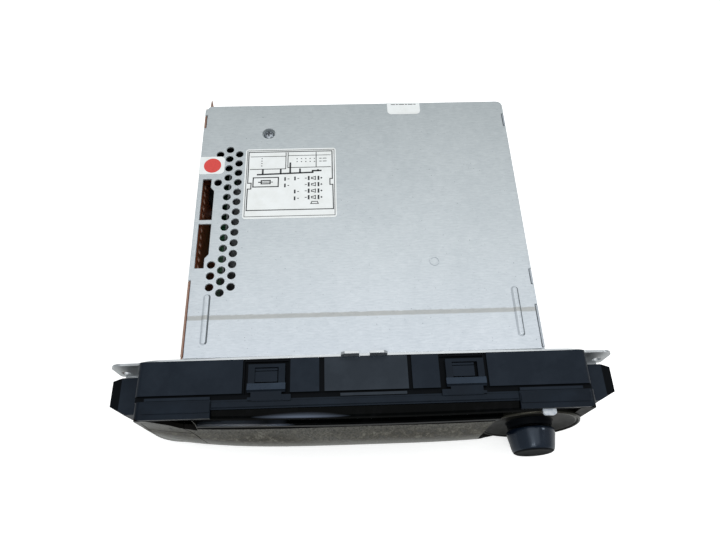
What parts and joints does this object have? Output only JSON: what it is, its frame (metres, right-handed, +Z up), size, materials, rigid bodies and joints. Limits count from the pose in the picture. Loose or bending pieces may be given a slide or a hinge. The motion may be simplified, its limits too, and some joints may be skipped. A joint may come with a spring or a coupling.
{
  "type": "car radio with disc player",
  "caption": "In-dash car radio with a slot-loading disc player: sheet metal case, bulged front with knob and keys, eared bracket, disc drive and rear sockets.",
  "frame": {"origin": "midway between the two ear holes, on the rear face of the front bracket", "axes": "+X to the right as the driver sees the front, +Y to the rear of the chassis, +Z up"},
  "size_m": [0.254, 0.2131, 0.0647],
  "materials": {
    "zinc_sheet": "galvanised, dull spangle",
    "yellow_plate": "yellow chromated steel",
    "drive_sheet": "galvanised",
    "bracket_sheet": "tin plated steel",
    "screw_steel": "zinc plated",
    "label_paper": "printed film",
    "black_abs": "moulded, fine grain",
    "silver_paint": "worn silver paint on plastic",
    "gloss_black": "polished",
    "smoked_lens": "smoked clear plastic",
    "frosted_white": "translucent white",
    "knob_black": "satin",
    "board_green": "solder mask on glass fibre",
    "silicone": "silicone rubber",
    "dark_rubber": "soft rubber",
    "contact_metal": "tin plated brass",
    "fuse_plastic": "clear red plastic",
    "nickel": "nickel plated",
    "component_black": "moulded",
    "white_pom": "acetal",
    "black_pom": "acetal",
    "motor_steel": "plated steel",
    "pinion_brass": "turned brass"
  },
  "bodies": {
    "unit": {"top_cover": "zinc_sheet", "chassis_tub": "zinc_sheet", "side_plate": "yellow_plate", "main_board": "board_green", "chassis_screws": "screw_steel", "connector_block": "component_black", "connector_pins": "contact_metal", "blade_fuse": "fuse_plastic", "aerial_socket": "nickel", "tuner_can": "nickel", "board_components": "component_black", "amplifier_chip": "component_black", "amplifier_clamp": "screw_steel", "cover_screw": "screw_steel", "front_bracket": "bracket_sheet", "front_frame": "black_abs", "face_carrier": "black_abs", "faceplate": "silver_paint", "display_lens": "smoked_lens", "display_module": "component_black", "slot_bezel": "gloss_black", "light_guide": "frosted_white", "front_board": "board_green", "keypad_mat": "silicone", "dial_ring": "silver_paint", "encoder_body": "nickel", "deck_frame": "drive_sheet", "disc_guide": "black_pom", "deck_rails": "drive_sheet", "deck_dampers": "dark_rubber", "spindle_motor": "motor_steel", "guide_rods": "nickel", "sled_motor": "motor_steel", "wiring_label": "label_paper", "seal_sticker": "label_paper", "rear_label": "label_paper"},
    "flap": {"dust_flap": "black_pom"},
    "push_contact": {"encoder_plunger": "white_pom"},
    "knob": {"volume_knob": "knob_black", "encoder_shaft": "nickel"},
    "table": {"turntable": "black_pom"},
    "clamp": {"clamp_arm": "drive_sheet"},
    "puck": {"clamp_puck": "white_pom"},
    "sled": {"pickup_sled": "black_pom"},
    "screw": {"leadscrew": "white_pom"},
    "sled_drive": {"sled_pinion": "pinion_brass"},
    "cradle": {"roller_cradle": "black_pom", "loading_motor": "motor_steel"},
    "roller": {"loading_roller": "dark_rubber"},
    "roller_drive": {"loading_pinion": "pinion_brass"},
    "source_1": {"left_key_1": "silver_paint"},
    "source_2": {"left_key_2": "silver_paint"},
    "source_3": {"left_key_3": "silver_paint"},
    "source_4": {"left_key_4": "silver_paint"},
    "preset_1": {"preset_key_1": "silver_paint"},
    "preset_2": {"preset_key_2": "silver_paint"},
    "preset_3": {"preset_key_3": "silver_paint"},
    "preset_4": {"preset_key_4": "silver_paint"},
    "preset_5": {"preset_key_5": "silver_paint"},
    "preset_6": {"preset_key_6": "silver_paint"}
  },
  "joints": [
    {"name": "flap_hinge", "type": "hinge", "parent": "unit", "child": "flap", "pos_m": [-0.008, -0.0122, 0.0134], "axis": [1, 0, 0], "range_deg": [0, 85], "stiffness_Nm_per_rad": 0.0003},
    {"name": "knob_push", "type": "slide", "parent": "unit", "child": "push_contact", "axis": [0, 0.9986, -0.0523], "range_m": [0, 0.0006], "stiffness_N_per_m": 2500},
    {"name": "knob_turn", "type": "hinge", "parent": "push_contact", "child": "knob", "pos_m": [0.085, -0.032, -0.012], "axis": [0, -0.9986, 0.0523], "continuous": true},
    {"name": "table_spin", "type": "hinge", "parent": "unit", "child": "table", "pos_m": [-0.008, 0.076, 0.0095], "axis": [0, 0, 1], "continuous": true},
    {"name": "clamp_lift", "type": "hinge", "parent": "unit", "child": "clamp", "pos_m": [-0.008, 0.138, 0.0127], "axis": [-1, 0, 0], "range_deg": [0, 1.85], "stiffness_Nm_per_rad": 0.2, "springref_deg": -17.19},
    {"name": "puck_spin", "type": "hinge", "parent": "clamp", "child": "puck", "pos_m": [-0.008, 0.076, 0.0095], "axis": [0, 0, 1], "continuous": true},
    {"name": "sled_travel", "type": "slide", "parent": "unit", "child": "sled", "axis": [1, 0, 0], "range_m": [0, 0.034]},
    {"name": "screw_spin", "type": "hinge", "parent": "unit", "child": "screw", "pos_m": [0.03, 0.1055, 0.002], "axis": [1, 0, 0], "range_deg": [-20, 6160]},
    {"name": "sled_drive_spin", "type": "hinge", "parent": "unit", "child": "sled_drive", "pos_m": [0.055, 0.1145, 0.002], "axis": [1, 0, 0], "range_deg": [-12320, 40]},
    {"name": "roller_lift", "type": "hinge", "parent": "unit", "child": "cradle", "pos_m": [0, 0.03, 0.002], "axis": [-1, 0, 0], "range_deg": [0, 8.6]},
    {"name": "roller_spin", "type": "hinge", "parent": "cradle", "child": "roller", "pos_m": [0, 0.014, 0.0035], "axis": [1, 0, 0], "continuous": true},
    {"name": "roller_drive_spin", "type": "hinge", "parent": "cradle", "child": "roller_drive", "pos_m": [0.06, 0.02006, 0.007], "axis": [1, 0, 0], "continuous": true},
    {"name": "source_1_press", "type": "slide", "parent": "unit", "child": "source_1", "axis": [0, 1, 0], "range_m": [0, 0.0008], "stiffness_N_per_m": 1000},
    {"name": "source_2_press", "type": "slide", "parent": "unit", "child": "source_2", "axis": [0, 1, 0], "range_m": [0, 0.0008], "stiffness_N_per_m": 1000},
    {"name": "source_3_press", "type": "slide", "parent": "unit", "child": "source_3", "axis": [0, 1, 0], "range_m": [0, 0.0008], "stiffness_N_per_m": 1000},
    {"name": "source_4_press", "type": "slide", "parent": "unit", "child": "source_4", "axis": [0, 1, 0], "range_m": [0, 0.0008], "stiffness_N_per_m": 1000},
    {"name": "preset_1_press", "type": "slide", "parent": "unit", "child": "preset_1", "axis": [0, 1, 0], "range_m": [0, 0.0008], "stiffness_N_per_m": 1000},
    {"name": "preset_2_press", "type": "slide", "parent": "unit", "child": "preset_2", "axis": [0, 1, 0], "range_m": [0, 0.0008], "stiffness_N_per_m": 1000},
    {"name": "preset_3_press", "type": "slide", "parent": "unit", "child": "preset_3", "axis": [0, 1, 0], "range_m": [0, 0.0008], "stiffness_N_per_m": 1000},
    {"name": "preset_4_press", "type": "slide", "parent": "unit", "child": "preset_4", "axis": [0, 1, 0], "range_m": [0, 0.0008], "stiffness_N_per_m": 1000},
    {"name": "preset_5_press", "type": "slide", "parent": "unit", "child": "preset_5", "axis": [0, 1, 0], "range_m": [0, 0.0008], "stiffness_N_per_m": 1000},
    {"name": "preset_6_press", "type": "slide", "parent": "unit", "child": "preset_6", "axis": [0, 1, 0], "range_m": [0, 0.0008], "stiffness_N_per_m": 1000}
  ],
  "couplings": [
    {"joint": "puck_spin", "follows": "table_spin", "ratio": 1},
    {"joint": "screw_spin", "follows": "sled_travel", "rad_per_m": 3141.6},
    {"joint": "sled_drive_spin", "follows": "sled_travel", "rad_per_m": -6283.2},
    {"joint": "roller_lift", "follows": "clamp_lift", "ratio": 4.6},
    {"joint": "roller_drive_spin", "follows": "roller_spin", "ratio": -1.8}
  ]
}
